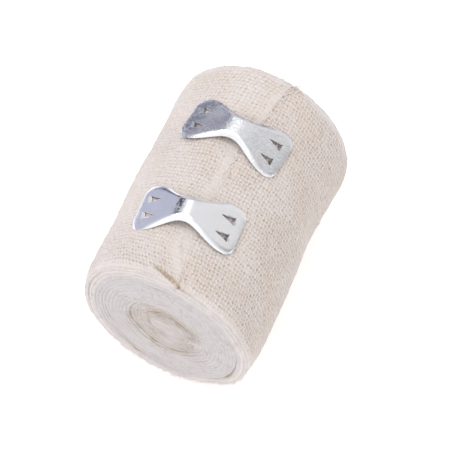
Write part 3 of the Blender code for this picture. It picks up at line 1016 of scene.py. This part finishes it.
# Painted shade: the browns of the gaps between yarns, of the holes where yarns meet, and of the grooves
# and the slit
GAP_SHADE_COLOUR = (0.44, 0.34, 0.26, 1.0)
HOLE_SHADE_COLOUR = (0.40, 0.25, 0.16, 1.0)
PAINTED_SHADE_COLOUR = (0.42, 0.32, 0.19, 1.0)


def yarn_grains(look, u, v, in_u, in_v):
    """The crowns of the yarns on top, warp and weft by turns, from 0 between yarns to 1."""
    cells = look.maths("ADD", look.maths("FLOOR", u), look.maths("FLOOR", v))
    weft_over = look.maths("FLOORED_MODULO", cells, 2.0)
    warp = look.grain(in_v, in_u, YARN_SLANT)
    weft = look.maths("MULTIPLY", look.grain(in_u, in_v, 0.1), 0.62)
    apart = look.maths("MULTIPLY", look.maths("SUBTRACT", weft, warp), weft_over)
    return look.maths("ADD", warp, apart)


def corner_hole_shade(look, in_u, in_v, fleck, pale):
    """Painted shade in small holes where four yarns meet, in some places only."""
    squares = []
    for within in (in_u, in_v):
        away = look.maths("SUBTRACT", 0.5, look.maths("ABSOLUTE", within))
        squares.append(look.maths("POWER", look.maths("ABSOLUTE", away), 2.0))
    corner = look.maths("SQRT", look.maths("ADD", *squares))
    hole_shade = look.spread(corner, 0.08, 0.26, 1.0, 0.0)
    hole_shade = look.maths("MULTIPLY", hole_shade, look.spread(fleck, 0.44, 0.62))
    return look.maths("MULTIPLY", hole_shade, look.maths("MULTIPLY_ADD", pale, -0.9, 0.75))


def cotton_colour(look, place, twist, pale):
    """Cream cotton with an uneven paleness, paler at the selvages."""
    patches = look.noise(place, 110.0, 3.0)
    small = look.noise(place, 420.0, 2.0)
    colour = look.mix(look.spread(patches, 0.35, 0.65), CREAM, CREAM_PALE)
    colour = look.mix(look.spread(small, 0.52, 0.75, 0.0, 0.22), colour, CREAM_WARM)
    colour = look.mix(look.spread(twist, 0.3, 0.75, 0.0, 0.4), colour, CREAM_PALE)
    return look.mix(look.maths("MULTIPLY", pale, 0.6), colour, SELVAGE_COLOUR)


def end_colour(look, place, colour):
    """Painted shade over a colour: a grey on the roll's felted ends, with specks, and a brown in the
    grooves.
    """
    specks = look.noise(look.scaled(place, (1.0, 0.35, 1.0)), 1500.0, 2.0, 0.6)
    # Painted shade: the roll's ends greyed, with warm specks
    shaded_end = look.mix(look.spread(specks, 0.46, 0.72, 0.0, 0.45), END_SHADE_COLOUR, CREAM_WARM)
    colour = look.mix(look.maths("MULTIPLY", look.field("end_shade"), 0.9), colour, shaded_end)
    # The painted shade of grooves, slit and cut edge, broken up by the specks
    speckled_shade = look.maths("MULTIPLY", look.field("painted_shade"), look.spread(specks, 0.36, 0.62, 0.5, 1.1))
    return look.mix(look.maths("MINIMUM", speckled_shade, 0.95), colour, PAINTED_SHADE_COLOUR)


def crepe_material():
    """Unbleached crepe: slanted grains of twisted yarn, painted shade in the gaps, and an uneven
    paleness.
    """
    look = Surface("crepe", CREAM[:3], 0.92)
    uv = look.add("ShaderNodeUVMap", uv_map="yarns").outputs[0]
    split = look.add("ShaderNodeSeparateXYZ")
    look.link(uv, split.inputs[0])
    u, v = split.outputs[0], split.outputs[1]
    in_u = look.maths("SUBTRACT", look.maths("FRACT", u), 0.5)
    in_v = look.maths("SUBTRACT", look.maths("FRACT", v), 0.5)
    place = look.place()
    pale = look.field("pale")
    woven = look.maths("MULTIPLY", look.maths("MULTIPLY_ADD", pale, -0.85, 1.0), look.field("weave"))
    grain = yarn_grains(look, u, v, in_u, in_v)
    fleck = look.noise(uv, 0.9, 2.0)
    twist = look.noise(look.scaled(uv, (2.2, 7.0, 1.0), math.radians(35)), 1.6, 3.0, 0.6)
    # Painted shade between the yarns, darkening towards brown where the grains fall away
    hollow = look.maths("POWER", look.maths("SUBTRACT", 1.0, grain), 1.6)
    gap_shade = look.maths("MULTIPLY", hollow, look.spread(fleck, 0.3, 0.7, 0.28, 0.85))
    gap_shade = look.maths("MULTIPLY", gap_shade, woven)
    colour = end_colour(look, place, cotton_colour(look, place, twist, pale))
    colour = look.mix(gap_shade, colour, GAP_SHADE_COLOUR)
    # Painted shade in the holes where four yarns meet
    hole_shade = corner_hole_shade(look, in_u, in_v, fleck, pale)
    look.feed("Base Color", look.mix(hole_shade, colour, HOLE_SHADE_COLOUR))
    height = look.maths("MULTIPLY_ADD", twist, 0.35, look.maths("MULTIPLY", grain, woven))
    height = look.maths("MULTIPLY_ADD", look.noise(place, 3200.0, 2.0, 0.7), 0.25, height)
    look.feed("Normal", look.bump(height, 0.95, 0.25 * MM))
    look.feed("Sheen Weight", 0.2)
    look.feed("Sheen Roughness", 0.6)
    look.feed("Specular IOR Level", 0.15)
    return look.material


def thread_material():
    """Loose cotton: a little paler than the cloth, with soft patches."""
    look = Surface("loose_cotton", CREAM_PALE[:3], 0.9)
    place = look.place()
    patches = look.spread(look.noise(place, 520.0, 2.0), 0.3, 0.52, 0.5, 1.0)
    look.feed("Base Color", look.mix(patches, CREAM_WARM, CREAM_PALE))
    look.feed("Normal", look.bump(look.noise(place, 4000.0, 2.0), 0.3, 0.05 * MM))
    look.feed("Specular IOR Level", 0.2)
    return look.material


METAL = (0.87, 0.875, 0.89, 1.0)
METAL_BRIGHT = (0.94, 0.94, 0.95, 1.0)
# The dark bluish colour of the painted reflection
METAL_REFLECTION_DARK = (0.20, 0.215, 0.29, 1.0)


def clip_material():
    """Bright rolled aluminium, with fine marks, worn uneven places, and a painted dark bluish reflection.
    """
    look = Surface("clip_metal", (0.90, 0.90, 0.92), 0.15, 1.0)
    place = look.place()
    wear = look.field("wear")
    cloud = look.noise(place, 170.0, 3.0, 0.6)
    rough = look.spread(cloud, 0.3, 0.7, 0.10, 0.22)
    look.feed("Roughness", look.maths("MULTIPLY_ADD", wear, 0.12, rough))
    bright = look.mix(look.spread(cloud, 0.3, 0.7), METAL, METAL_BRIGHT)
    # Painted dark bluish reflection, mottled
    mottled = look.spread(look.noise(place, 800.0, 4.0, 0.7), 0.38, 0.6, 0.25, 1.0)
    painted_reflection = look.maths("MULTIPLY", look.field("painted_reflection"), mottled)
    look.feed("Base Color", look.mix(painted_reflection, bright, METAL_REFLECTION_DARK))
    marks = look.noise(look.scaled(place, (700.0, 4200.0, 700.0)), 1.0, 3.0, 0.6)
    wrinkles = look.maths("MULTIPLY", look.noise(place, 520.0, 2.0, 0.6), look.field("crease"))
    dents = look.noise(place, 1300.0, 3.0, 0.65)
    worn = look.maths("MULTIPLY", dents, look.maths("MULTIPLY_ADD", wear, 1.0, 0.08))
    normal = look.bump(marks, 0.12, 0.02 * MM)
    normal = look.bump(wrinkles, 0.6, 0.35 * MM, normal)
    normal = look.bump(worn, 0.9, 0.16 * MM, normal)
    look.feed("Normal", look.bump(look.noise(place, 150.0, 1.0), 0.5, 0.25 * MM, normal))
    return look.material


FLOOR_SIZE = 3.0
FLOOR_DROP = 0.05 * MM
FLOOR_GLOW = 0.36


def floor_material():
    """A white sweep, lit a little from below as on a light table."""
    look = Surface("pale_floor", (0.9, 0.9, 0.9), 0.8)
    cloud = look.spread(look.noise(look.place(), 6.0, 1.0), 0.3, 0.7)
    look.feed("Base Color", look.mix(cloud, (0.89, 0.89, 0.89, 1), (0.91, 0.91, 0.91, 1)))
    look.feed("Emission Color", (1.0, 1.0, 1.0, 1.0))
    look.feed("Emission Strength", FLOOR_GLOW)
    return look.material


def make_floor():
    bm = bmesh.new()
    bmesh.ops.create_grid(bm, x_segments=8, y_segments=8, size=FLOOR_SIZE)
    floor = bmesh_object("floor", bm)
    floor.location = (0, 0, -FLOOR_DROP)
    floor.data.materials.append(floor_material())


def camera_frame():
    """The directions towards the camera, to its right and up, in the roll's frame."""
    e, a = math.radians(CAMERA_ELEVATION), math.radians(CAMERA_AZIMUTH)
    back = Vector((math.sin(a) * math.cos(e), -math.cos(a) * math.cos(e), math.sin(e)))
    right = Vector((math.cos(a), math.sin(a), 0))
    return back, right, back.cross(right)


def make_camera():
    back, right, up = camera_frame()
    data = bpy.data.cameras.new("camera")
    data.sensor_width = CAMERA_SENSOR
    data.lens = CAMERA_LENS
    data.clip_start = 0.01
    camera = bpy.data.objects.new("camera", data)
    bpy.context.scene.collection.objects.link(camera)
    aim = AIM + right * AIM_RIGHT + up * AIM_UP
    turned = Matrix((right, up, back)).transposed().to_4x4()
    camera.matrix_world = Matrix.Translation(aim + back * CAMERA_DISTANCE) @ turned
    bpy.context.scene.camera = camera


KEY_PLACE = Vector((-0.25, 0.0, 0.95))
KEY_AIM = Vector((0, 0, 0.03))
KEY_SIZE = 0.8
KEY_POWER = 3.1
KEY_COLOUR = (1.0, 0.985, 0.97)


def make_key_light():
    """One soft light over the roll, a little to its left."""
    data = bpy.data.lights.new("key", "AREA")
    data.shape = "RECTANGLE"
    data.size = KEY_SIZE
    data.size_y = KEY_SIZE
    data.energy = KEY_POWER
    data.color = KEY_COLOUR
    light = bpy.data.objects.new("key", data)
    light.location = KEY_PLACE
    light.rotation_euler = (KEY_AIM - KEY_PLACE).to_track_quat("-Z", "Y").to_euler()
    bpy.context.scene.collection.objects.link(light)


# What the metal reflects: an azimuth from the roll's far end towards its right, and an elevation
Panel = namedtuple("Panel", "azimuth elevation half_width half_height soft colour")
PANELS = rows(Panel, "", [
    (-62, 6, 70, 22, 6, (0.60, 0.61, 0.76)),
    (-46, 12, 10, 9, 4, (0.08, 0.09, 0.15)),
    (-53, 38, 14, 8, 4, (0.03, 0.03, 0.07)),
    (42, 24, 32, 30, 8, (0.92, 0.91, 0.92)),
    (71, 30, 17, 16, 4, (0.50, 0.505, 0.52)),
    (-26, 58, 13, 9, 5, (1.6, 1.6, 1.65)),
    (178, 35, 75, 26, 8, (1.25, 1.25, 1.27)),
])


ROOM_COLOUR = (0.84, 0.85, 0.87, 1.0)
ROOM_LIGHT = 0.9


def panel_share(look, panel, azimuth, elevation):
    """1 where a direction lies on a panel, and 0 beside it, with a soft border."""
    turned = look.maths("SUBTRACT", azimuth, panel.azimuth)
    away = look.maths("ABSOLUTE", look.maths("WRAP", turned, 180.0, -180.0))
    above = look.maths("ABSOLUTE", look.maths("SUBTRACT", elevation, panel.elevation))
    shares = []
    for off, half in ((away, panel.half_width), (above, panel.half_height)):
        shares.append(look.spread(off, half - panel.soft, half + panel.soft, 1.0, 0.0))
    return look.maths("MULTIPLY", *shares)


def make_world():
    """A white room with a few brighter and darker panels, by direction."""
    world = bpy.data.worlds.new("studio")
    world.use_nodes = True
    bpy.context.scene.world = world
    look = Nodes(world.node_tree)
    split = look.add("ShaderNodeSeparateXYZ")
    look.link(look.add("ShaderNodeTexCoord").outputs["Generated"], split.inputs[0])
    x, y, z = split.outputs
    azimuth = look.maths("DEGREES", look.maths("ARCTAN2", x, y))
    elevation = look.maths("DEGREES", look.maths("ARCSINE", z))
    colour = ROOM_COLOUR
    for panel in PANELS:
        share = panel_share(look, panel, azimuth, elevation)
        colour = look.mix(share, colour, (*panel.colour, 1.0))
    background = world.node_tree.nodes["Background"]
    look.link(colour, background.inputs["Color"])
    background.inputs["Strength"].default_value = ROOM_LIGHT


def dress(piece, material):
    """Give a piece its material and slot, and let it ride on the part."""
    piece.data.materials.clear()
    piece.data.materials.append(material)
    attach(piece, "root")


def main():
    make_camera()
    crepe, cotton, metal = crepe_material(), thread_material(), clip_material()
    outer, outer_length = make_outer()
    turns, turns_length = make_turns()
    strays = [make_frayed_ends(), make_loose_threads(), make_fuzz()]
    for piece in (outer, turns):
        dress(piece, crepe)
    for piece in strays:
        dress(piece, cotton)
    for clip in CLIPS:
        piece = make_clip(clip)
        dress(piece, metal)
        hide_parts(clip.name)
    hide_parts("loose_end")
    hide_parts("roll")
    make_floor()
    make_world()
    make_key_light()
    bpy.context.scene.view_settings.view_transform = "Standard"


main()
